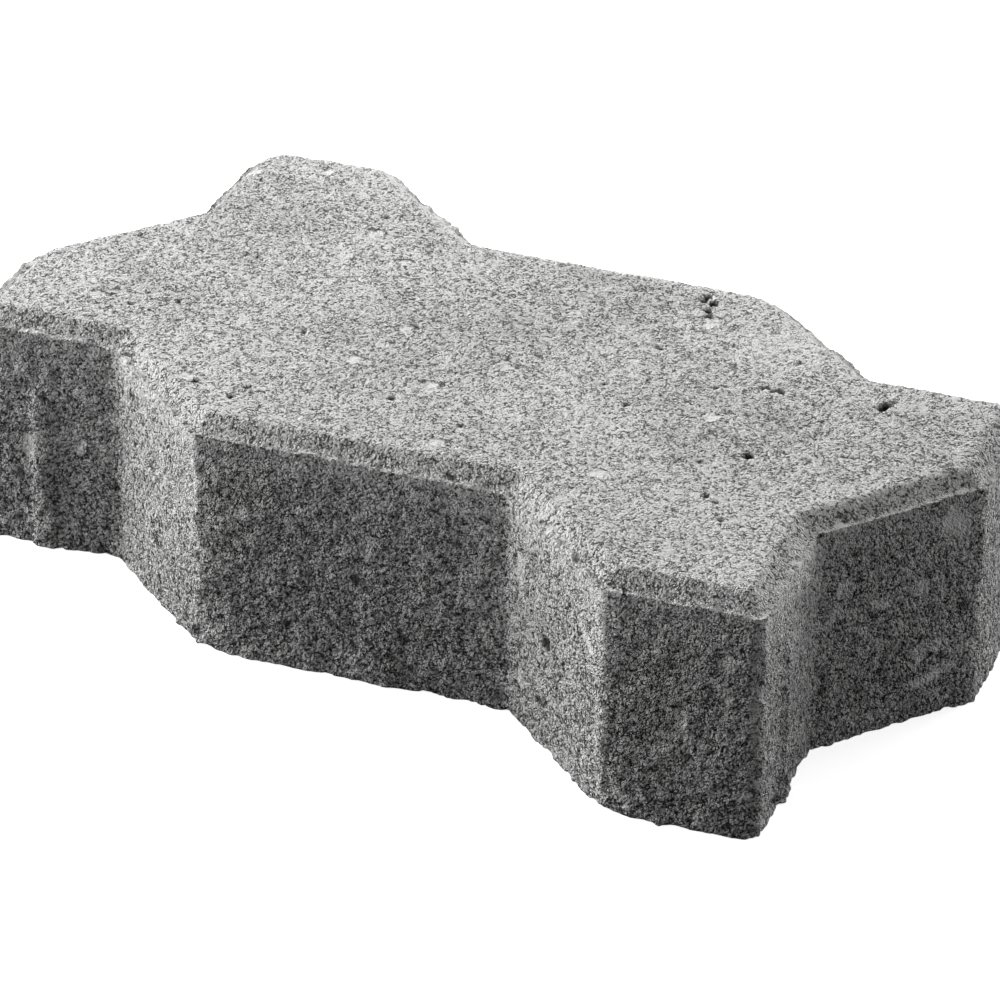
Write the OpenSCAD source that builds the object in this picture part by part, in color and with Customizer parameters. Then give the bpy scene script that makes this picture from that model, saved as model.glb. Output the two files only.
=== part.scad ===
// Interlocking concrete paving stone with zig-zag sides, a chamfered wearing face and spacer nibs.
// It is one casting. It lies flat on its bed face, long way along X, and the origin is at the
// middle of that face. All sizes are in millimetres.

/* [Laying module] */
// width of the laying module: the stone takes one module across and two along
module_width = 112.5;   // [80:0.5:160]
// joint left between the faces of neighbouring stones
joint = 2.5;            // [1:0.25:6]

/* [Zig-zag outline] */
// length of the slanted flank from a corner of the module to the next bend
flank_length = 38;      // [26:0.5:46]
// slant of the flanks against the sides of the module, in degrees
flank_slant = 15;       // [5:0.5:25]
// radius of the upright corners where the sides meet
corner_radius = 2.5;    // [0.5:0.25:6]

/* [Thickness and chamfer] */
// thickness of the stone, from the bed face to the wearing face
thickness = 60;         // [40:1:120]
// width of the chamfer, measured across the wearing face
chamfer_width = 5;      // [2:0.25:9]
// depth of the chamfer, measured down the sides
chamfer_depth = 3.5;    // [1:0.25:8]
// flat land between the foot of the chamfer and the side, as part of the chamfer's width
chamfer_land = 1;       // [0.25:0.25:2]
// radius of the corners of the wearing face, inside the chamfer
face_corner_radius = 1; // [0.25:0.25:4]

/* [Spacer nibs] */
// width of a nib where it leaves the side
nib_width = 8;          // [3:0.25:12]
// width of a nib along its crest
nib_crest = 3;          // [1:0.25:8]
// play left between a nib and the next stone
nib_play = 1.2;         // [0:0.1:2]
// distance from the chamfer down to the top of a nib
nib_drop = 13;          // [4:0.5:30]
// length of the slope in which a nib runs out at its top
nib_runout = 7;         // [2:0.5:15]

/* [Hidden] */
modules_long = 2;
corner_steps = 5;                             // flats in each rounded corner
side_height = thickness - chamfer_depth;      // top of the upright sides
nib_reach = joint - nib_play;                 // how far a nib stands out of the side
nib_top = side_height - nib_drop;
nib_root = 2;                                 // how far a nib is sunk into the body
concrete_grey = [0.62, 0.62, 0.61];

// The outline is walked clockwise, seen from above. Each leg is one side of the block of modules:
// [corner it starts from, direction, outward direction, modules along it].
half_long = modules_long * module_width / 2;
half_wide = module_width / 2;
legs = [
    [[ half_long, -half_wide], [-1, 0], [0, -1], modules_long],   // front
    [[-half_long, -half_wide], [0, 1], [-1, 0], 1],               // left
    [[-half_long, half_wide], [1, 0], [0, 1], modules_long],      // back
    [[ half_long, half_wide], [0, -1], [1, 0], 1],                // right
];

function cross2(a, b) = a[0] * b[1] - a[1] * b[0];
function unit(v) = v / norm(v);
function turned(v, angle) = [
    v[0] * cos(angle) - v[1] * sin(angle),
    v[0] * sin(angle) + v[1] * cos(angle),
];

// direction of the flanks of a leg, and their outward normal
function flank_way(leg) = cos(flank_slant) * leg[1] + sin(flank_slant) * leg[2];
function flank_out(leg) = cos(flank_slant) * leg[2] - sin(flank_slant) * leg[1];

// bends of one leg: out along a flank, back across the module line, and out along the next flank
function leg_bends(leg) = concat([leg[0]], [
    for (m = [0 : leg[3] - 1])
        let (start = leg[0] + m * module_width * leg[1], flank = flank_length * flank_way(leg))
            each [start + flank, start + module_width * leg[1] - flank]
]);
bends = [for (leg = legs) each leg_bends(leg)];
bend_count = len(bends);

// unit directions of the sides, and the signed turn from each side to the next at its bend
ways = [for (i = [0 : bend_count - 1]) unit(bends[(i + 1) % bend_count] - bends[i])];
function way_in(i) = ways[(i + bend_count - 1) % bend_count];
function turn(i) = atan2(cross2(way_in(i), ways[i]), way_in(i) * ways[i]);

// bend i moved inwards by inset, square to both of its sides
function inset_bend(i, inset) =
    let (a = way_in(i), b = ways[i], sum = [a[1] + b[1], -a[0] - b[0]])
        bends[i] + sum * inset / (1 + a * b);

// points of the arc of this radius that rounds the inset bend i
function rounded_bend(i, inset, radius) =
    let (
        a = way_in(i),
        b = ways[i],
        tip = inset_bend(i, inset),
        centre = tip + unit(b - a) * radius / cos(turn(i) / 2),
        first = tip - a * radius * tan(abs(turn(i)) / 2)
    )
    [for (k = [0 : corner_steps]) centre + turned(first - centre, turn(i) * k / corner_steps)];

// closed ring of points at height z: the outline inset by this much, with rounded corners
function ring(inset, radius, z) = [
    for (i = [0 : bend_count - 1], p = rounded_bend(i, inset, radius)) [p[0], p[1], z]
];

// middle of a ring, at the ring's height
function middle(ring_points) = [for (p = ring_points) 1] * ring_points / len(ring_points);

// Solid through rings of equal count, given from the bottom up and walked clockwise. The two ends
// are closed by fans of triangles around their middles, from where the whole ring can be seen.
module loft(rings) {
    n = len(rings[0]);
    top = (len(rings) - 1) * n;
    bottom_middle = top + n;
    top_middle = bottom_middle + 1;
    polyhedron(
        points = concat(
            [for (r = rings) each r],
            [middle(rings[0]), middle(rings[len(rings) - 1])]
        ),
        faces = [
            for (j = [0 : n - 1])
                let (next = (j + 1) % n)
                    each concat(
                        [[bottom_middle, next, j]],
                        [
                            for (low = [0 : n : top - n])
                                each [
                                    [low + j, low + next, low + n + next],
                                    [low + j, low + n + next, low + n + j]
                                ]
                        ],
                        [[top_middle, top + j, top + next]]
                    )
        ]
    );
}

// body with upright sides, and the land and chamfer around the wearing face
module body() {
    loft([
        ring(joint / 2, corner_radius, 0),
        ring(joint / 2, corner_radius, side_height),
        ring(joint / 2 + chamfer_land, corner_radius, side_height),
        ring(joint / 2 + chamfer_width, face_corner_radius, thickness)
    ]);
}

// section of a nib at height z, with its crest standing out this far; -Y is into the body
function nib_ring(reach, z) =
    let (root_half = nib_width / 2 + nib_root * (nib_width - nib_crest) / 2 / nib_reach)
        [
            [-root_half, -nib_root, z],
            [-nib_crest / 2, reach, z],
            [nib_crest / 2, reach, z],
            [root_half, -nib_root, z]
        ];

// upright nib on the plane y = 0, running out in a slope at its top
module nib() {
    sunk = -nib_root / 2;                     // the slope ends inside the body
    loft([
        nib_ring(nib_reach, 0),
        nib_ring(nib_reach, nib_top - nib_runout),
        nib_ring(sunk, nib_top - nib_runout + nib_runout * (nib_reach - sunk) / nib_reach)
    ]);
}

// one nib halfway along the last flank of each leg
module nibs() {
    for (leg = legs) {
        out = flank_out(leg);
        corner = leg[0] + leg[3] * module_width * leg[1];
        seat = corner - flank_way(leg) * flank_length / 2 - out * joint / 2;
        translate([seat[0], seat[1], 0])
            rotate([0, 0, atan2(out[1], out[0]) - 90])
                nib();
    }
}

// the whole casting
module paving_stone() {
    color(concrete_grey)
        union() {
            body();
            nibs();
        }
}

paving_stone();
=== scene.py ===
"""Concrete paving stone: a cast, zig-zag interlocking stone with its grain, pits, worn arrises and ragged bed
edge, on a plain pale floor in soft studio light. The stone's sizes are in millimetres, and they become metres
when its mesh is made."""
import math

import bpy
import numpy as np
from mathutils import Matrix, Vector
from mathutils.geometry import delaunay_2d_cdt
from mathutils.kdtree import KDTree


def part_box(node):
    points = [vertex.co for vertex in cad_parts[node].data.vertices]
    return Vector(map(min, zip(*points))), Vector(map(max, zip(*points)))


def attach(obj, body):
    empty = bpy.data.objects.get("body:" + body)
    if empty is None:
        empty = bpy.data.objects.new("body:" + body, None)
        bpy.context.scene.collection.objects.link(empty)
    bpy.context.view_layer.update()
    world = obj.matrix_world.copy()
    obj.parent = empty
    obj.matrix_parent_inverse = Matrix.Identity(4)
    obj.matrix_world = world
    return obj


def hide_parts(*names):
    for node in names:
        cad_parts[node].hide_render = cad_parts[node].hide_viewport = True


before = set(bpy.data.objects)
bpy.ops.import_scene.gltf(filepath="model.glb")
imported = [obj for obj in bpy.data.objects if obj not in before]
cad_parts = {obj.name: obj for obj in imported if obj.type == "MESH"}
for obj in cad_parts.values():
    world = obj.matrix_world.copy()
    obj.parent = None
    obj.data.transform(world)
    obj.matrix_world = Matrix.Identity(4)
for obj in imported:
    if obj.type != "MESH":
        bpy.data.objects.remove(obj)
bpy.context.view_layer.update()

node_low, node_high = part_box("paving_stone")

MM = 0.001
SEED = 4207
BOX_LOW, BOX_HIGH = np.array(node_low) / MM, np.array(node_high) / MM

# ---------------------------------------------------------------- spacing of the mesh's points, in mm
STEP = 0.87              # on the sides
FACE_STEP = 1.07 * STEP
BED_STEP = 2.6
FINE_STEP = 0.3          # in the holes of the wearing face
JITTER = 0.12            # share of the step that a point is off its grid by, at most
CLEAR = 0.6              # share of the step that a grid keeps from its rim

# ---------------------------------------------------------------- sizes of the casting, in mm
MODULE = 112.5
JOINT = 2.5
FLANK = 38.0
SLANT = math.radians(15)
CORNER_R = 2.5
FACE_CORNER_R = 1.0
THICK = float(round(BOX_HIGH[2] - BOX_LOW[2], 3))
CHAMFER_W = 5.0
CHAMFER_D = 3.5
CHAMFER_ROWS = 6
CHAMFER_RUN = 5.3        # up the chamfer's slope, from its land to the wearing face
LAND = 1.0
SIDE_TOP = THICK - CHAMFER_D
NIB_W, NIB_CREST, NIB_REACH, NIB_RUNOUT = 8.0, 3.0, 1.3, 7.0
NIB_TOP = SIDE_TOP - 13.0

# ---------------------------------------------------------------- noise in numpy


def hashed(ix, iy, iz, seed):
    """Even random numbers from 0 to 1 for whole-number lattice points. The big numbers only mix the bits."""
    h = (ix.astype(np.int64) * 374761393 + iy.astype(np.int64) * 668265263
         + iz.astype(np.int64) * 2147483647 + seed * 974634777) & 0xFFFFFFFF
    h = ((h ^ (h >> 13)) * 1274126177) & 0xFFFFFFFF
    h = ((h ^ (h >> 16)) * 2246822519) & 0xFFFFFFFF
    h = h ^ (h >> 15)
    return h / 4294967295.0


def noise(p, seed):
    """Smooth noise from -1 to 1 at points p, with cells of size 1."""
    cell = np.floor(p).astype(np.int64)
    f = p - cell
    f = f * f * f * (f * (f * 6 - 15) + 10)
    out = np.zeros(len(p))
    for dx in (0, 1):
        for dy in (0, 1):
            for dz in (0, 1):
                w = ((f[:, 0] if dx else 1 - f[:, 0]) * (f[:, 1] if dy else 1 - f[:, 1])
                     * (f[:, 2] if dz else 1 - f[:, 2]))
                out += w * hashed(cell[:, 0] + dx, cell[:, 1] + dy, cell[:, 2] + dz, seed)
    return out * 2 - 1


def fbm(p, size, seed, octaves=4, gain=0.5):
    """Layers of noise, each half as large and gain times as strong as the last, spread to about -1 to 1."""
    out, amp, total = np.zeros(len(p)), 1.0, 0.0
    for k in range(octaves):
        out += amp * noise(p / size * 2 ** k, seed + 17 * k)
        total += amp
        amp *= gain
    return out / total * 1.6


def grains(p, size, seed):
    """Distance to the nearest grain's centre, in grain sizes."""
    q = p / size
    cell = np.floor(q).astype(np.int64)
    best = np.full(len(p), 9.0)
    for dx in (-1, 0, 1):
        for dy in (-1, 0, 1):
            for dz in (-1, 0, 1):
                c = cell + (dx, dy, dz)
                at = np.stack([hashed(*c.T, seed + k) for k in (1, 2, 3)], 1)
                best = np.minimum(best, np.linalg.norm(c + at - q, axis=1))
    return best


def smooth(x, a, b):
    """Rises smoothly from 0 at a to 1 at b."""
    t = np.clip((x - a) / (b - a), 0, 1)
    return t * t * (3 - 2 * t)


# ---------------------------------------------------------------- outline


def outline():
    """Bends of the zig-zag outline, clockwise seen from above, before the joint is taken off, and the nibs'
    (seat, direction along the flank, direction outwards)."""
    half_l, half_w = MODULE, MODULE / 2
    legs = [((half_l, -half_w), (-1, 0), (0, -1), 2), ((-half_l, -half_w), (0, 1), (-1, 0), 1),
            ((-half_l, half_w), (1, 0), (0, 1), 2), ((half_l, half_w), (0, -1), (1, 0), 1)]
    bends, nibs = [], []
    for corner, way, out, count in legs:
        corner, way, out = (np.array(v, float) for v in (corner, way, out))
        flank = math.cos(SLANT) * way + math.sin(SLANT) * out
        square = math.cos(SLANT) * out - math.sin(SLANT) * way
        bends.append(corner)
        for m in range(count):
            start = corner + m * MODULE * way
            bends += [start + FLANK * flank, start + MODULE * way - FLANK * flank]
        end = corner + count * MODULE * way
        nibs.append((end - flank * FLANK / 2 - square * JOINT / 2, flank, square))
    return np.array(bends), nibs


BENDS, NIBS = outline()
COUNT = len(BENDS)
WAYS = np.roll(BENDS, -1, 0) - BENDS
WAYS /= np.linalg.norm(WAYS, axis=1)[:, None]


def turned_in(i, inset):
    """Bend i of the outline inset by this much."""
    a, b = WAYS[i - 1], WAYS[i]
    return BENDS[i] + np.array([a[1] + b[1], -a[0] - b[0]]) * inset / (1 + a @ b)


def cross(a, b):
    return a[0] * b[1] - a[1] * b[0]


def ring(inset, radius, step):
    """Points of the outline inset by this much, its corners rounded, and the side that each is on. Their
    number depends on step alone."""
    arcs = []
    for i in range(COUNT):
        a, b = WAYS[i - 1], WAYS[i]
        turn = math.atan2(cross(a, b), a @ b)
        tip = turned_in(i, inset)
        tangent = radius * math.tan(abs(turn) / 2)
        middle = (b - a) / np.linalg.norm(b - a)
        centre = tip + middle * radius / math.cos(turn / 2)
        first = tip - a * tangent - centre
        flats = max(3, round(CORNER_R * abs(turn) / step))
        angles = turn * np.arange(flats + 1) / flats
        c, s = np.cos(angles), np.sin(angles)
        arcs.append(centre + np.stack([first[0] * c - first[1] * s, first[0] * s + first[1] * c], 1))
    points, sides = [], []
    for i in range(COUNT):
        start, end = arcs[i][-1], arcs[(i + 1) % COUNT][0]
        n = round(np.linalg.norm(BENDS[(i + 1) % COUNT] - BENDS[i]) / step)
        t = np.arange(1, n) / n
        points += [arcs[i], start + (end - start) * t[:, None]]
        sides += [np.full(len(arcs[i]), i), np.full(n - 1, i)]
    return np.concatenate(points), np.concatenate(sides)


def gap_to(points, loop, batch=4000):
    """Signed distance from each point to a closed loop of points, positive inside."""
    a, b = loop, np.roll(loop, -1, 0)
    e = b - a
    length = (e ** 2).sum(1)
    out = np.empty(len(points))
    for k in range(0, len(points), batch):
        p = points[k:k + batch, None]
        t = np.clip(((p - a) * e).sum(2) / length, 0, 1)
        d = np.sqrt((((p - a) - t[..., None] * e) ** 2).sum(2)).min(1)
        y = p[..., 1]
        crosses = (a[:, 1] > y) != (b[:, 1] > y)
        x = a[:, 0] + (y - a[:, 1]) * e[:, 0] / np.where(e[:, 1] == 0, 1e-9, e[:, 1])
        inside = (crosses & (p[..., 0] < x)).sum(1) % 2 == 1
        out[k:k + batch] = np.where(inside, d, -d)
    return out


def three_way_grid(low, high, step):
    """Points of a triangular grid over a box."""
    rows = []
    for k, y in enumerate(np.arange(low[1], high[1], step * math.sqrt(3) / 2)):
        x = np.arange(low[0] + (k % 2) * step / 2, high[0], step)
        rows.append(np.column_stack([x, np.full(len(x), y)]))
    return np.concatenate(rows)


def fill(loop, step, rng, spots=()):
    """Triangles that fill a loop with points about step apart, closer together in the spots (x, y, radius).
    Returns (new points, triangles)."""
    grid = three_way_grid(loop.min(0), loop.max(0), step)
    grid = grid + rng.uniform(-JITTER, JITTER, grid.shape) * step
    for x, y, r in spots:
        grid = grid[np.hypot(grid[:, 0] - x, grid[:, 1] - y) > r + FINE_STEP * CLEAR]
        n = math.ceil(r / FINE_STEP) + 1
        i, j = (v.ravel() for v in np.meshgrid(np.arange(-n, n + 1), np.arange(-n, n + 1)))
        patch = np.column_stack([i + 0.5 * (j % 2), j * math.sqrt(0.75)]) * FINE_STEP
        grid = np.concatenate([grid, patch[np.hypot(*patch.T) < r] + (x, y)])
    grid = grid[gap_to(grid, loop) > step * CLEAR]
    every = np.concatenate([loop, grid])
    got = delaunay_2d_cdt([Vector(p) for p in every], [], [list(range(len(loop)))], 1, 1e-5, True)
    where = [o[0] for o in got[3]]
    tris = np.array([[where[v] for v in f] for f in got[2]])
    tris = tris[gap_to(every[tris].mean(1), loop) > 0]
    a, b, c = (every[tris[:, k]] for k in range(3))
    clockwise = cross((b - a).T, (c - a).T) < 0
    tris[clockwise] = tris[clockwise][:, ::-1]
    return grid, tris


# ---------------------------------------------------------------- smooth casting


def rows_up():
    """The rings of points from the bed to the wearing face, as (inset, corner radius, height), and the number
    of them on the upright side. They stand closer together at its foot and its top."""
    half = JOINT / 2
    low, high = 2.1, SIDE_TOP - 1.4
    plain = np.linspace(low, high, round((high - low) / STEP))
    heights = [0, 0.35, 0.8, 1.4, *plain, SIDE_TOP - 0.7, SIDE_TOP - 0.3]
    rows = [(half, CORNER_R, z) for z in heights]
    rows += [(half + LAND * t, CORNER_R, SIDE_TOP) for t in (0, 0.5, 1)]
    for k in range(1, CHAMFER_ROWS + 1):
        t = k / CHAMFER_ROWS
        radius = CORNER_R + (FACE_CORNER_R - CORNER_R) * t
        rows.append((half + LAND + (CHAMFER_W - LAND) * t, radius, SIDE_TOP + CHAMFER_D * t))
    return rows, len(heights)


def build(spots):
    """The smooth casting: vertices, quads, triangles, the side and the row of each vertex, the number of rows
    on the upright side, of points in a row and of triangles in the wearing face. The side is -1 for vertices
    inside the face and the bed, and the row is -1 inside the bed."""
    rng = np.random.default_rng(SEED)
    rows, wall_rows = rows_up()
    rings = []
    for inset, radius, z in rows:
        flat, side = ring(inset, radius, STEP)
        rings.append(np.column_stack([flat, np.full(len(flat), z)]))
    n, m = len(rings[0]), len(rings)
    j = np.arange(n)
    quads = []
    for r in range(m - 1):
        a, b = r * n + j, r * n + (j + 1) % n
        quads.append(np.stack([a, a + n, b + n, b], 1))       # outward for a clockwise walk
    quads = np.concatenate(quads)
    walls = np.concatenate(rings)
    top, top_tris = fill(rings[-1][:, :2], FACE_STEP, rng, spots)
    bed, bed_tris = fill(rings[0][:, :2], BED_STEP, rng)
    top_at = np.concatenate([(m - 1) * n + j, len(walls) + np.arange(len(top))])
    bed_at = np.concatenate([j, len(walls) + len(top) + np.arange(len(bed))])
    verts = np.concatenate([walls, np.column_stack([top, np.full(len(top), THICK)]),
                            np.column_stack([bed, np.zeros(len(bed))])])
    tris = np.concatenate([top_at[top_tris], bed_at[bed_tris][:, ::-1]])
    side_of = np.concatenate([np.tile(side, m), np.full(len(top) + len(bed), -1)])
    row_of = np.concatenate([np.repeat(np.arange(m), n), np.full(len(top), m), np.full(len(bed), -1)])
    return verts, quads, tris, side_of, row_of, wall_rows, n, len(top_tris)


def add_nibs(v, wall):
    """Pushes the wall out into the four upright nibs."""
    for seat, along, out in NIBS:
        t = (v[:, :2] - seat) @ along
        near = wall & (abs(t) < NIB_W) & (abs((v[:, :2] - seat) @ out) < 3)
        rise = np.clip((NIB_W / 2 - abs(t)) / ((NIB_W - NIB_CREST) / 2), 0, 1)
        rise = (0.6 + 0.4 * rise * (3 - 2 * rise)) * rise * (1 - 0.15 * (t / NIB_CREST) ** 2)
        reach = NIB_REACH * rise * np.clip((NIB_TOP - v[:, 2]) / NIB_RUNOUT, 0, 1)
        v[near, :2] += (out * reach[:, None])[near]
    return v


def mesh_of(name, verts, quads, tris):
    faces = [tuple(f) for f in quads.tolist()] + [tuple(f) for f in tris.tolist()]
    me = bpy.data.meshes.new(name)
    me.from_pydata((verts * MM).tolist(), [], faces)
    me.update()
    return me


def smooth_normals():
    """Each vertex's normal on the smooth casting."""
    me = mesh_of("smooth", verts, quads, tris)
    out = np.empty(len(me.vertices) * 3)
    me.vertex_normals.foreach_get("vector", out)
    bpy.data.meshes.remove(me)
    return out.reshape(-1, 3)


# this stone's own holes in the wearing face, in mm: (x, y, radius, depth), then many small ones at random
HOLES = [(73.8, -4.6, 1.0, 1.2), (25.7, 51.8, 0.75, 1.2), (25.9, 49.5, 0.75, 1.2), (28.4, 49.5, 0.9, 1.2),
         (29.5, 46.1, 0.8, 1.4), (30.7, 43.9, 0.7, 1.2), (86.4, 30.9, 0.9, 1.2), (86.8, 32.8, 1.1, 1.3),
         (87.4, 34.6, 0.6, 1.1), (-36, -51, 0.8, 1.0), (-47, -50, 0.8, 1.0), (59.8, 23.0, 0.45, 0.9),
         (60.6, 23.5, 0.4, 1.0), (62.1, 22.9, 0.45, 0.9), (63.0, 23.6, 0.4, 0.9), (64.2, 23.8, 0.45, 0.7)]
SMALL_HOLES, TRIES, FROM_RIM = 90, 500, 3
rim = ring(JOINT / 2 + CHAMFER_W, FACE_CORNER_R, STEP)[0]
top_rng = np.random.default_rng(SEED + 2)
small_at = top_rng.uniform(rim.min(0), rim.max(0), (TRIES, 2))
small_at = small_at[gap_to(small_at, rim) > FROM_RIM][:SMALL_HOLES]
small_r = 0.32 + 0.4 * top_rng.random(SMALL_HOLES) ** 3
small_depth = small_r * top_rng.uniform(0.5, 1.3, SMALL_HOLES)
HOLES += [(x, y, r, depth) for (x, y), r, depth in zip(small_at, small_r, small_depth)]

casting = build([hole[:3] for hole in HOLES])
verts, quads, tris, side_of, row_of, wall_rows, round_count, face_tris = casting
last_row = row_of.max()
side = (row_of >= 0) & (row_of < wall_rows)
chamfer = (row_of >= wall_rows) & (row_of < last_row)          # with its land
face = row_of == last_row
bed = row_of < 0
verts = add_nibs(verts, side)
normal = smooth_normals()

# ---------------------------------------------------------------- relief of the real casting
# these sides also get painted light: their concrete is painted paler further down
DRAGGED_PAINTED_LIGHTER = (1, 3, 8, 10, 12, 13, 15)       # sides that the mould scraped as it lifted
FRONT = (0, 1, 2, 3, 4)
OFF = 99                                  # farther than any wear reaches


def on_sides(*numbers):
    return np.isin(side_of, numbers)


def reached(centres, radii):
    """For each centre: the points within its radius and their distance from it over the radius."""
    for c, r in zip(centres, radii):
        found = tree.find_range(Vector(c), r)
        if found:
            yield np.array([f[1] for f in found]), np.array([f[2] for f in found]) / r


def scattered(where, count, rng):
    """Some of the points where this mask holds."""
    return verts[rng.choice(np.flatnonzero(where), count, replace=False)]


tree = KDTree(len(verts))
for k, p in enumerate(verts.tolist()):
    tree.insert(p, k)
tree.balance()

below_top = SIDE_TOP - verts[:, 2]
up_chamfer = (row_of - wall_rows - 2) / (last_row - wall_rows - 2)
from_arris = np.where(chamfer, (1 - up_chamfer) * CHAMFER_RUN, OFF)
from_arris[face] = gap_to(verts[face, :2], rim)
body = fbm(verts, 9, 11, 3)
lumps = grains(verts, 3.4, 23)
grit = grains(verts, 1.9, 29)
fine = fbm(verts, 1.8, 37, 2)
drag = fbm(verts * (1, 1, 0.1), 2.2, 43, 2)
dragged_painted_lighter = on_sides(*DRAGGED_PAINTED_LIGHTER)

push = np.zeros(len(verts))               # along the normal, outwards
calm = (0.45 + 0.55 * smooth(below_top, 2, 14)) * (0.4 + 0.6 * smooth(below_top, 0, 1.6))
push += side * calm * (0.24 * body + 0.46 * (0.5 - lumps) + 0.38 * (0.5 - grit) + 0.22 * fine)
push += side * np.where(dragged_painted_lighter, 0.14, 0.05) * drag
push += chamfer * (0.12 * body + 0.14 * (0.5 - grit) + 0.14 * fine)
push += face * (0.10 * fbm(verts, 18, 41, 3) + 0.10 * (0.5 - grit) + 0.06 * fine)

# painted shade in the pits and holes, and the pale stones' own lighter tone
pit_shade, light = np.zeros(len(verts)), np.zeros(len(verts))


def pit(centres, radii, depths, edge):
    """Sinks irregular pits and paints shade into them, darker where deeper; edge is how much of the radius
    the wall takes up.
    """
    for (near, t), depth in zip(reached(centres, radii), depths):
        bowl = 1 - smooth(t * (1 + 0.25 * fine[near]), 1 - edge, 1)
        push[near] -= depth * bowl
        pit_shade[near] = np.maximum(pit_shade[near], np.minimum(1, depth) * bowl)


def pebble(centres, radii, heights):
    """Raises pale rounded stones."""
    for (near, t), height in zip(reached(centres, radii), heights):
        dome = np.clip(1 - t ** 2, 0, 1) ** 0.5
        push[near] += height * dome
        light[near] = np.maximum(light[near], smooth(dome, 0.3, 0.7) * 0.6)


PITS, PEBBLES = 150, 260
rng = np.random.default_rng(SEED + 1)
radii = rng.uniform(0.9, 1.9, PITS)
pit(scattered(side & (below_top > 3), PITS, rng), radii, radii * rng.uniform(0.25, 0.5, PITS), 0.9)
radii = rng.uniform(1.2, 2.6, PEBBLES)
pebble(scattered(side & (below_top > 5), PEBBLES, rng), radii, rng.uniform(0.1, 0.35, PEBBLES))
holes = np.array(HOLES)
pit(np.column_stack([holes[:, :2], np.full(len(holes), THICK)]), holes[:, 2] * 1.1, holes[:, 3], 0.35)

# this stone's own pits in its front sides, in mm: (x, y, z, radius, depth)
SIDE_PITS = np.array([(53, -53.3, 28, 2.1, 1.0), (1.6, -54.6, 26.4, 1.6, 0.6), (4, -54, 24.6, 1.2, 0.5),
                      (12.8, -51.6, 13, 1.4, 0.7)])
pit(SIDE_PITS[:, :3], SIDE_PITS[:, 3], SIDE_PITS[:, 4], 0.5)

# pale smears where the mould rubbed, and pale stones cut through by the side, in mm:
# (start, end, radius, strength)
SMEARS = [((116.8, 11.3, 51), (118.1, 13.9, 48), 3.4, 1.0),
          ((102.9, -16.3, 31.5), (103.9, -14.2, 36), 1.5, 0.8),
          ((108.1, -5.9, 35.1), (109.8, -2.6, 33), 1.2, 0.9),
          ((113.4, 4.6, 9.4), (117.7, 13.2, 12.1), 1.6, 0.9),
          ((115.8, 9.3, 17.7), (116.4, 10.6, 19.6), 1.6, 0.8),
          ((16.5, -50.5, 35.3), (18.6, -50, 36.8), 2.2, 0.6),
          ((93.8, -60, 30.9), (95.8, -59.4, 16.6), 1.5, 0.5),
          ((68.4, -61, 42), (71.4, -62.4, 38.2), 2.0, 0.6),
          ((-98.6, -51.2, 27.4), (-98.6, -51.2, 24.8), 1.9, 1.3)]
smear = np.zeros(len(verts))
for start, end, r, strength in SMEARS:
    start, way = np.array(start), np.subtract(end, start)
    t = np.clip((verts - start) @ way / (way @ way), 0, 1)
    d = np.linalg.norm(verts - start - t[:, None] * way, axis=1)
    smear = np.maximum(smear, strength * (1 - smooth(d * (1 + 0.3 * fine), 0.4 * r, r)))
smear *= side

# ---------------------------------------------------------------- wear of the arrises and the foot
corner_wear, near_corner = np.zeros(len(verts)), np.zeros(len(verts))
for k in range(COUNT):
    if cross(WAYS[k - 1], WAYS[k]) < 0:       # the corner points outwards
        d = np.hypot(*(verts[:, :2] - turned_in(k, 1.8)).T)
        corner_wear = np.maximum(corner_wear, side * np.exp(-(d / 2.2) ** 2))
        near_corner = np.maximum(near_corner, np.exp(-(d / 5.5) ** 2))
push -= corner_wear * np.clip(0.2 + 0.5 * fbm(verts, 5, 47, 3), 0, 0.8)

# the edge of the wearing face, more worn at the back and the left end
small = grains(verts, 2.1, 59)
far = (verts[:, 1] > 12) | (verts[:, 0] < -98)
edge_wear = 0.1 + 0.2 * far + 0.28 * fbm(verts, 9, 49, 3) + (0.55 + 0.9 * far) * (small - 0.43)
push -= np.clip(edge_wear, 0, 1.1) * np.clip(1 - from_arris / 2.0, 0, 1) ** 2

# the crumbling edge of the bed
low = np.clip(1 - verts[:, 2] / 4, 0, 1) * side
crumbs = np.clip(fbm(verts, 5, 53, 3), -0.3, 1)
push -= low ** 2 * (0.1 + 0.5 * crumbs + 0.8 * (small - 0.4))

# the foot of the front sides flares out, by this much at each x
FLARE = ((-106, 1.6), (-97, 2.0), (-88, 2.4), (-83, 1.2), (-80, 0), (-75, 0.8), (-67, 1.3), (-50, 1.0),
         (-38, 0.1), (-35, 0.3), (-29, 1.7), (-20, 2.1), (-10, 1.6), (-5, 0.8), (0, 2.2), (9, 2.2), (14, 0.2),
         (28, 0), (33, 1.0), (37, 0.8), (41, 0), (60, 0), (68, 1.0), (74, 0.2), (78, 0.3), (83, 1.8),
         (87, 1.9), (93, 0.7), (103, 1.3), (109, 0.4))
FLARE_TOP = 13                            # the height where the flare ends
flare = np.interp(verts[:, 0], *np.transpose(FLARE)) * np.clip(1 - verts[:, 2] / FLARE_TOP, 0, 1) ** 1.7
push += side * on_sides(*FRONT) * flare

# the burr that the press left along the chamfer's land, broken near the corners, and the ragged far rim
rise = np.zeros(len(verts))
burr = np.clip(0.35 + 0.8 * fbm(verts, 2.6, 61, 3), -0.05, 0.9) * smooth(fbm(verts, 15, 67, 2), -0.9, -0.2)
burr *= 1 - 0.9 * near_corner
burr += on_sides(5) * smooth(verts[:, 1], -52, -42) * (1 + 0.5 * fbm(verts, 4, 63, 3))
ragged = far * (row_of >= wall_rows - 1) * (row_of <= wall_rows + 3) * (small - 0.4)
push -= 1.7 * ragged
rise += 1.2 * ragged
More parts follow.
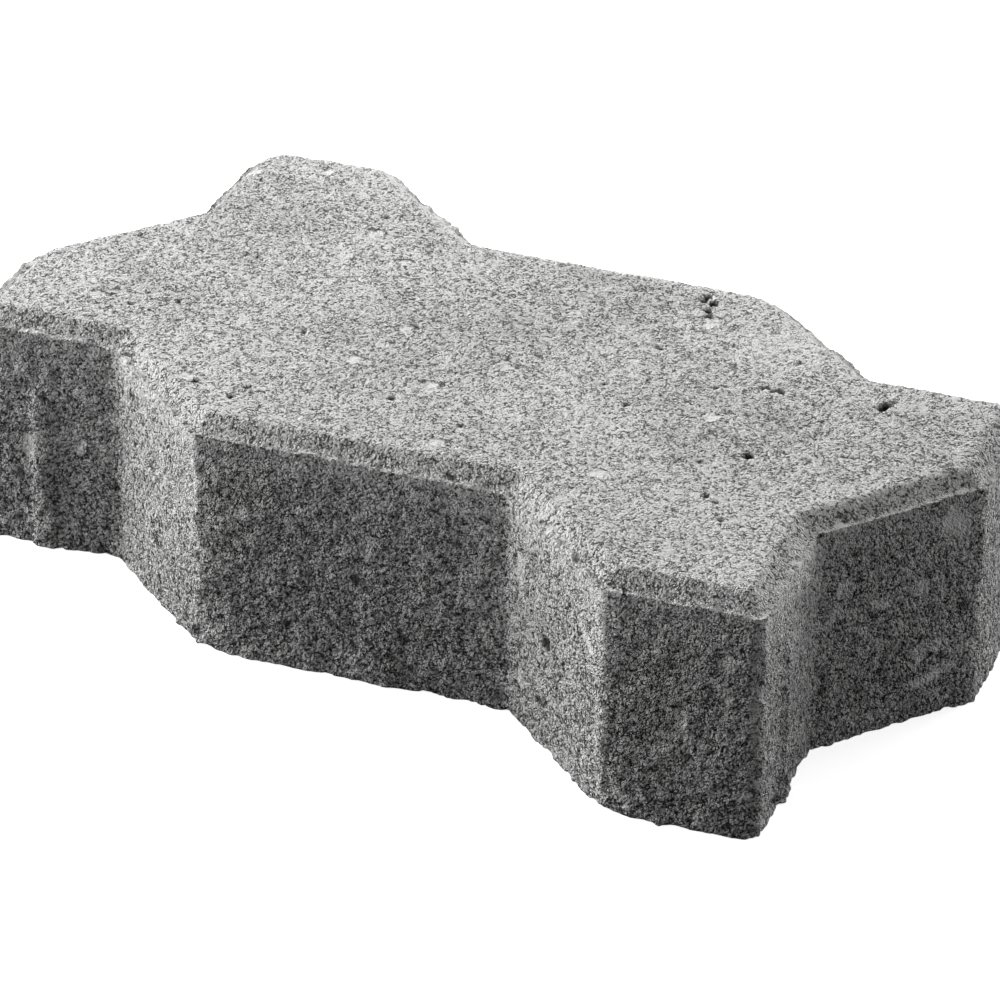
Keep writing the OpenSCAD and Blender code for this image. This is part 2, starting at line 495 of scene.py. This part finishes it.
# painted highlight: the land's crest is painted lighter where the burr stands high, less near the corners
crest = np.zeros(len(verts))
for k, lift, highlight in ((-1, 0.3, 0), (0, 1.0, 0.8), (1, 0.9, 1.0), (2, 0.7, 0.8)):
    rise += (row_of == wall_rows + k) * lift * burr
    crest += (row_of == wall_rows + k) * highlight * np.clip(burr * 2, 0.5, 1) * (1 - 0.6 * near_corner)
rise += (row_of == 0) * np.clip(0.4 * fbm(verts, 5, 71, 2) + 0.8 * (small - 0.5), 0, 0.8)
rise += bed * (0.12 + 0.12 * fbm(verts, 8, 73, 3))

shape = verts + normal * push[:, None]
shape[:, 2] += rise

# worn and broken places at the back, in mm:
# (from this bend, part of the way to the next, height, reach, depth, drop)
WORN = [(8, 0, 60, 13, 2.3, 1.0), (9, 0, 60, 5, 0.5, 0.5), (9, 0.25, 56, 11, 1.9, 0.3),
        (9, 0.55, 57, 10, 1.0, 0.3), (11, 0, 60, 12, 1.3, 0.6), (11, 0.5, 57, 13, 0.9, 0.3),
        (12, 0, 60, 9, 0.8, 0.5), (6, 0, 60, 8, 0.8, 0.5)]
for k, part, z, span, depth, drop in WORN:
    spot = BENDS[k] + (BENDS[(k + 1) % COUNT] - BENDS[k]) * part
    d = np.linalg.norm(verts - (*spot, z), axis=1)
    w = depth * np.clip(1 - d / span, 0, 1) ** 1.2 * (1 + 0.4 * fine)
    shape += np.append(-spot / np.linalg.norm(spot), -drop) * w[:, None] * (~bed)[:, None]
shape = np.clip(shape, BOX_LOW, BOX_HIGH)

me = mesh_of("paving_stone_casting", shape, quads, tris)
smoothed = np.ones(len(me.polygons), bool)
smoothed[round_count * wall_rows:round_count * (wall_rows + 2)] = False       # the land keeps a crisp edge
me.polygons.foreach_set("use_smooth", smoothed)

# ---------------------------------------------------------------- what the concrete reads at each vertex
rough = side * (0.3 + 0.7 * smooth(below_top, 1, 12)) * (1 - 0.5 * np.clip(smear, 0, 1)) + chamfer * 0.12
rough *= 1 - 0.5 * corner_wear

PALE_X, PALE_Y, PALE_R = 51, 42, 17       # a pale patch of the wearing face
# painted light and shade: each chamfer face is painted lighter or darker on its own, in powers of two
CHAMFER_LIGHT_AND_SHADE = {0: 0.1, 1: 0.1, 2: 0.1, 3: 0.1, 4: 0.1, 5: -0.9, 6: 0.4, 7: -0.9, 8: 1.3, 9: 1.3, 10: 1.3,
                11: 1.0, 12: -1.0, 14: 0.1, 15: 0.1}
from_pale = np.hypot(verts[:, 0] - PALE_X, verts[:, 1] - PALE_Y)
whitish = smooth(PALE_R - from_pale, 0, 14) * face * (0.8 + 0.4 * body)
for number, painted_light in CHAMFER_LIGHT_AND_SHADE.items():
    whitish += chamfer * on_sides(number) * painted_light
# painted light: the dragged sides and side 15 are painted paler; the smear term is the real pale smears
whitish += side * (0.33 + 0.27 * dragged_painted_lighter + 0.2 * on_sides(15) + 2.3 * smear)
whitish += side * 0.7 * corner_wear * smooth(verts[:, 2], 20, 45) * on_sides(0, 1, 2, 3)

# the pit attribute carries painted shade in pits and holes, the crest attribute a painted highlight on the
# land
for name, values in (("pit", pit_shade), ("pale", light), ("rough", rough), ("whitish", whitish),
                     ("crest", crest)):
    me.attributes.new(name, "FLOAT", "POINT").data.foreach_set("value", values.astype(np.float32))

# ---------------------------------------------------------------- map for baking
# a square sheet in mm: the wall in three strips at the bottom, the face and chamfer above, the bed at the
# right
SHEET, STRIPS, STRIP_W, STRIP_H = 320.0, 3, 239, 63
HALF_L, HALF_W = 121, 65                  # a little more than half the stone
BED_LEFT, BED_ACROSS, BED_ALONG = 243, 0.58, 0.6
corner_of = np.empty(len(me.loops), np.int32)
me.loops.foreach_get("vertex_index", corner_of)
face_of = np.repeat(np.arange(len(me.polygons)), [p.loop_total for p in me.polygons])
on_wall = face_of < round_count * (wall_rows - 1)
on_bed = face_of >= len(quads) + face_tris
along, crossways, upright = verts[corner_of, 0] + HALF_L, verts[corner_of, 1] + HALF_W, verts[corner_of, 2]
strip_points = math.ceil(round_count / STRIPS)
column = np.where(on_wall, face_of % round_count, 0)
strip = column // strip_points
closing = (column == round_count - 1) & (corner_of % round_count == 0)
place = corner_of % round_count + np.where(closing, round_count, 0) - strip * strip_points
u, v = along.copy(), crossways + STRIP_H * STRIPS
u[on_wall] = place[on_wall] * (STRIP_W / strip_points) + 1
v[on_wall] = (upright + STRIP_H * strip + 2)[on_wall]
u[on_bed] = BED_LEFT + BED_ACROSS * crossways[on_bed]
v[on_bed] = 2 + BED_ALONG * along[on_bed]
sheet = (np.column_stack([u, v]) / SHEET).ravel().astype(np.float32)
me.uv_layers.new(name="OFBake").data.foreach_set("uv", sheet)

stone = bpy.data.objects.new("paving_stone_casting", me)
bpy.context.scene.collection.objects.link(stone)
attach(stone, "root")
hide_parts("paving_stone")

# ---------------------------------------------------------------- concrete
mat = bpy.data.materials.new("concrete")
mat.use_nodes = True
nt = mat.node_tree
bsdf = nt.nodes["Principled BSDF"]


def put(socket, value):
    if hasattr(value, "is_output"):
        nt.links.new(value, socket)
    else:
        socket.default_value = value


def calc(op, a, b=0.0, c=0.0, clamp=False):
    n = nt.nodes.new("ShaderNodeMath")
    n.operation, n.use_clamp = op, clamp
    for socket, value in zip(n.inputs, (a, b, c)):
        put(socket, value)
    return n.outputs[0]


def vector_calc(op, a, b, c=(0, 0, 0)):
    n = nt.nodes.new("ShaderNodeVectorMath")
    n.operation = op
    for socket, value in zip(n.inputs, (a, b, c)):
        put(socket, value)
    return n.outputs["Value" if op == "DISTANCE" else "Vector"]


def on_axis(vector, axis):
    """One of a vector's three numbers."""
    n = nt.nodes.new("ShaderNodeSeparateXYZ")
    put(n.inputs[0], vector)
    return n.outputs[axis]


def total(*parts):
    """Sum of (value, weight) pairs. Where a third number gives a value's mean, that is taken off first."""
    out = 0.0
    for value, weight, *mean in parts:
        out = calc("MULTIPLY_ADD", calc("SUBTRACT", value, mean[0]) if mean else value, weight, out)
    return out


def ramp(value, a, b, to_a=0.0, to_b=1.0):
    n = nt.nodes.new("ShaderNodeMapRange")
    n.interpolation_type = "SMOOTHSTEP"
    for socket, v in zip(n.inputs, (value, a, b, to_a, to_b)):
        put(socket, v)
    return n.outputs[0]


coords = nt.nodes.new("ShaderNodeTexCoord").outputs["Object"]


def noise_map(size, detail=3.0, roughness=0.55, shift=0.0, output="Fac"):
    """Noise with features about size millimetres across."""
    n = nt.nodes.new("ShaderNodeTexNoise")
    n.noise_dimensions = "4D"
    put(n.inputs["Vector"], coords)
    put(n.inputs["W"], shift)
    put(n.inputs["Scale"], 1 / (size * MM))
    put(n.inputs["Detail"], detail)
    put(n.inputs["Roughness"], roughness)
    return n.outputs[output]


def grain_map(size, vector):
    """Grains about size millimetres across: (distance from the grain's middle, its own tone, a second one,
    the middle's place)."""
    n = nt.nodes.new("ShaderNodeTexVoronoi")
    put(n.inputs["Vector"], vector)
    put(n.inputs["Scale"], 1 / (size * MM))
    own = nt.nodes.new("ShaderNodeSeparateColor")
    put(own.inputs[0], n.outputs["Color"])
    return n.outputs["Distance"], own.outputs[0], own.outputs[1], n.outputs["Position"]


def bend(size, reach_mm, shift):
    """The coordinates, moved about by noise of this size."""
    push_by = noise_map(size, 2.0, 0.5, shift, "Color")
    return vector_calc("MULTIPLY_ADD", push_by, (reach_mm * MM,) * 3, coords)


def attribute(name):
    n = nt.nodes.new("ShaderNodeAttribute")
    n.attribute_name = name
    return n.outputs["Fac"]


pit_shade_at, pale_at, rough_at = attribute("pit"), attribute("pale"), attribute("rough")
whitish_at, crest_at = attribute("whitish"), attribute("crest")

# painted shade: the deepest holes are painted dark to the bottom, in mm: (x, y, z, radius)
SHADED_HOLES = [(53.2, -52.8, 28.0, 1.6), (73.8, -4.6, 59.4, 1.1), (28.2, 49.5, 59.4, 0.9),
              (86.8, 32.4, 59.4, 1.2)]
BENT = 1.6                # the noise moves a place by this at most, and by half of it on average
ragged_at = bend(2.0, BENT, 27.0)
for x, y, z, radius in SHADED_HOLES:
    middle = Vector((x + BENT / 2, y + BENT / 2, z + BENT / 2)) * MM
    away = vector_calc("DISTANCE", ragged_at, middle)
    pit_shade_at = calc("MAXIMUM", pit_shade_at, ramp(away, (radius - 0.15) * MM, (radius + 0.2) * MM, 1.0, 0.0))

blotch = noise_map(38, 3, 0.6)
patch = noise_map(7, 3, 0.6, 3.0)
speck = noise_map(0.68, 2, 0.6, 7.0)
dust = noise_map(0.34, 1, 0.5, 9.0)
loose = bend(1.0, 0.7, 11.0)
sand_far, sand_tone, _, _ = grain_map(0.54, loose)
grit_far, grit_tone, _, _ = grain_map(1.1, loose)
sand_gap = ramp(sand_far, 0.35, 0.75)            # 1 between the grains
grit_gap = ramp(grit_far, 0.4, 0.72)

# flakes of aggregate flush with the surface, some with a crack behind them: a groove in the relief, darkened
# in the colour as a painted shadow on the flake's +Y side
stone_at = bend(2.6, 4.2, 13.0)
stone_far, stone_size, stone_kept, stone_middle = grain_map(9.0, stone_at)
inner = calc("SUBTRACT", calc("MULTIPLY_ADD", stone_size, 0.26, 0.04), stone_far)
kept = ramp(stone_kept, 0.68, 0.72)
flake = calc("MAXIMUM", calc("MULTIPLY", ramp(inner, -0.03, 0.06), kept), pale_at)
aside = vector_calc("SUBTRACT", stone_at, stone_middle)
# the crack's painted shadow lies only on the flake's +Y side
shadow_side = ramp(on_axis(aside, "Y"), 0.1 * MM, 0.8 * MM)
shadowed_crack = calc("MULTIPLY", ramp(calc("ABSOLUTE", calc("ADD", inner, 0.05)), 0.02, 0.07, 1.0, 0.0), kept)
shadowed_crack = calc("MULTIPLY", calc("MULTIPLY", shadowed_crack, shadow_side), ramp(noise_map(2.0, 2, 0.6, 17.0), 0.46, 0.56))

# how much of the grain shows: less on flakes, in holes, on pale concrete and along the crest
plain_there = calc("MAXIMUM", calc("MULTIPLY", whitish_at, 0.42), calc("MULTIPLY", crest_at, 0.7))
plain_there = calc("MAXIMUM", calc("MAXIMUM", flake, pit_shade_at), plain_there, clamp=True)
bare = calc("MULTIPLY_ADD", plain_there, -0.65, 1.0)

# pores: dark gaps in looser and tighter patches
pore_edge = calc("MULTIPLY_ADD", ramp(patch, 0.35, 0.65), -0.05, 0.45)
pore = calc("MULTIPLY", ramp(speck, calc("SUBTRACT", pore_edge, 0.05), pore_edge, 1.0, 0.0), bare)

# short ragged cracks between the grains
fold = calc("ABSOLUTE", calc("SUBTRACT", noise_map(1.0, 1, 0.5, 19.0), 0.5))
fold = calc("DIVIDE", fold, calc("MULTIPLY_ADD", rough_at, 0.4, 1.0))
cracked = ramp(noise_map(1.3, 1, 0.5, 23.0), 0.47, 0.55)
crackle = calc("MULTIPLY", ramp(fold, 0.02, 0.07, 1.0, 0.0), cracked)

# tone in powers of two, on the pressed wearing face and on the rough sides
smooth_tone = total((sand_tone, 0.35, 0.5), (sand_gap, -0.7, 0.3), (pore, -1.4, 0.15), (dust, 2.6, 0.5),
                    (grit_tone, 0.1, 0.5), (crackle, -1.7, 0.1))
rough_tone = total((sand_tone, 0.6, 0.5), (sand_gap, -1.1, 0.3), (grit_gap, -0.7, 0.25),
                   (grit_tone, 0.4, 0.5), (pore, -1.9, 0.2), (dust, 3.6, 0.5), (crackle, -2.0, 0.12))
mixed = total((calc("SUBTRACT", rough_tone, smooth_tone), rough_at), (smooth_tone, 1.0))
mixed = calc("MULTIPLY", mixed, bare)
mixed = calc("MINIMUM", calc("MULTIPLY", mixed, 1.4), calc("MULTIPLY", mixed, 0.5))   # more soot than salt
# painted shade: the rough sides are painted darker towards the bottom and a little lighter high up
foot_shade = ramp(on_axis(coords, "Z"), 0.0, 48 * MM, -0.42, 0.12)
# painted highlight along the crest, broken up by noise
broken_crest = calc("MULTIPLY", crest_at, ramp(noise_map(1.1, 2, 0.6, 29.0), 0.4, 0.52, 0.55, 1.3))
# painted light and shade in this sum: the pits and holes darkened as painted shade, the crack behind flakes
# as a painted shadow, the crest lightened as a painted highlight, and the rough sides darkened towards the
# bottom as painted shade; the whitish attribute holds the real pale smears and patch and also painted light
# on some sides and chamfers
wide = total((blotch, 1.6, 0.5), (patch, 0.5, 0.5), (pit_shade_at, -3.6), (flake, 0.2), (shadowed_crack, -1.8),
             (whitish_at, 0.5), (broken_crest, 1.1), (calc("MULTIPLY", foot_shade, rough_at), 1.0))
BRIGHTEST = 1.15
tone = calc("MINIMUM", calc("POWER", 2.0, calc("ADD", mixed, wide)), BRIGHTEST)

GREY = (0.77, 0.77, 0.76)
paint = nt.nodes.new("ShaderNodeVectorMath")
paint.operation = "SCALE"
put(paint.inputs[0], GREY)
put(paint.inputs["Scale"], tone)
put(bsdf.inputs["Base Color"], paint.outputs[0])
put(bsdf.inputs["Roughness"], ramp(flake, 0.0, 1.0, 0.95, 0.75))
put(bsdf.inputs["Specular IOR Level"], 0.3)

# fine relief, in mm
smooth_high = total((sand_gap, -0.22), (speck, 0.6), (dust, 0.14), (pore, -0.3), (shadowed_crack, -0.3),
                    (crackle, -0.45))
rough_high = total((sand_gap, -0.4), (grit_gap, -0.7), (speck, 1.0), (dust, 0.3), (pore, -0.5),
                   (shadowed_crack, -0.3), (crackle, -0.7))
height = total((calc("SUBTRACT", rough_high, smooth_high), rough_at), (smooth_high, 1.0))
bump = nt.nodes.new("ShaderNodeBump")
put(bump.inputs["Strength"], 1.0)
put(bump.inputs["Distance"], 1.0 * MM)
put(bump.inputs["Height"], calc("MULTIPLY", height, bare))
put(bsdf.inputs["Normal"], bump.outputs[0])
me.materials.append(mat)

# ---------------------------------------------------------------- floor, light and camera
bpy.ops.mesh.primitive_plane_add(size=12, location=(0, 0, 0))
floor = bpy.context.object
floor.name = "floor"
floor_paint = bpy.data.materials.new("pale_floor")
floor_paint.use_nodes = True
floor_sockets = floor_paint.node_tree.nodes["Principled BSDF"].inputs
floor_sockets["Base Color"].default_value = (0.9, 0.9, 0.9, 1)
floor_sockets["Roughness"].default_value = 0.9
floor_sockets["Emission Color"].default_value = (1, 1, 1, 1)
floor_sockets["Emission Strength"].default_value = 0.82
floor.data.materials.append(floor_paint)
floor.visible_diffuse = False             # the stone is lit by the lamps, with no light off the floor
floor.visible_glossy = False

AIMED_AT = Vector((0, 0, 0.03))
# name, azimuth from +X towards +Y and elevation in degrees, distance and side in metres, power in watts
LAMPS = [("back_light_left", 120, 20, 1.3, 0.6, 6.1),
         ("back_light_right", 75, 20, 1.3, 0.6, 8.6),
         ("left_light_low", 195, 12, 1.3, 0.6, 16.0),
         ("left_light_high", 195, 45, 1.3, 0.6, 4.1),
         ("right_light", 30, 12, 1.3, 0.6, 4.4),
         ("front_light", 240, 20, 1.3, 0.6, 4.9),
         ("near_light", 150, 30, 0.55, 0.3, 1.12)]


def soft_light(name, azimuth, elevation, distance, size, watts):
    """Square area light aimed at the stone."""
    a, e = math.radians(azimuth), math.radians(elevation)
    way = Vector((math.cos(a) * math.cos(e), math.sin(a) * math.cos(e), math.sin(e)))
    data = bpy.data.lights.new(name, "AREA")
    data.shape, data.size, data.energy = "SQUARE", size, watts
    lamp = bpy.data.objects.new(name, data)
    lamp.location = way * distance + AIMED_AT
    lamp.rotation_euler = way.to_track_quat("Z", "Y").to_euler()
    bpy.context.scene.collection.objects.link(lamp)


for lamp in LAMPS:
    soft_light(*lamp)

world = bpy.data.worlds.new("studio")
bpy.context.scene.world = world
world.use_nodes = True
sky = world.node_tree.nodes["Background"].inputs
sky["Color"].default_value = (1, 1, 1, 1)
sky["Strength"].default_value = 0.02
bpy.context.scene.view_settings.view_transform = "Standard"

AZIMUTH, ELEVATION, DISTANCE = math.radians(35.77), math.radians(30.99), 1127.4 * MM
AIM = Vector((-18.34, 28.84, 0)) * MM
back = Vector((math.sin(AZIMUTH) * math.cos(ELEVATION), -math.cos(AZIMUTH) * math.cos(ELEVATION),
               math.sin(ELEVATION)))
cam_data = bpy.data.cameras.new("camera")
cam_data.sensor_width = 36
cam_data.lens = 166.77
cam_data.clip_start, cam_data.clip_end = 0.05, 20
camera = bpy.data.objects.new("camera", cam_data)
camera.location = AIM + back * DISTANCE
camera.rotation_euler = back.to_track_quat("Z", "Y").to_euler()
bpy.context.scene.collection.objects.link(camera)
bpy.context.scene.camera = camera
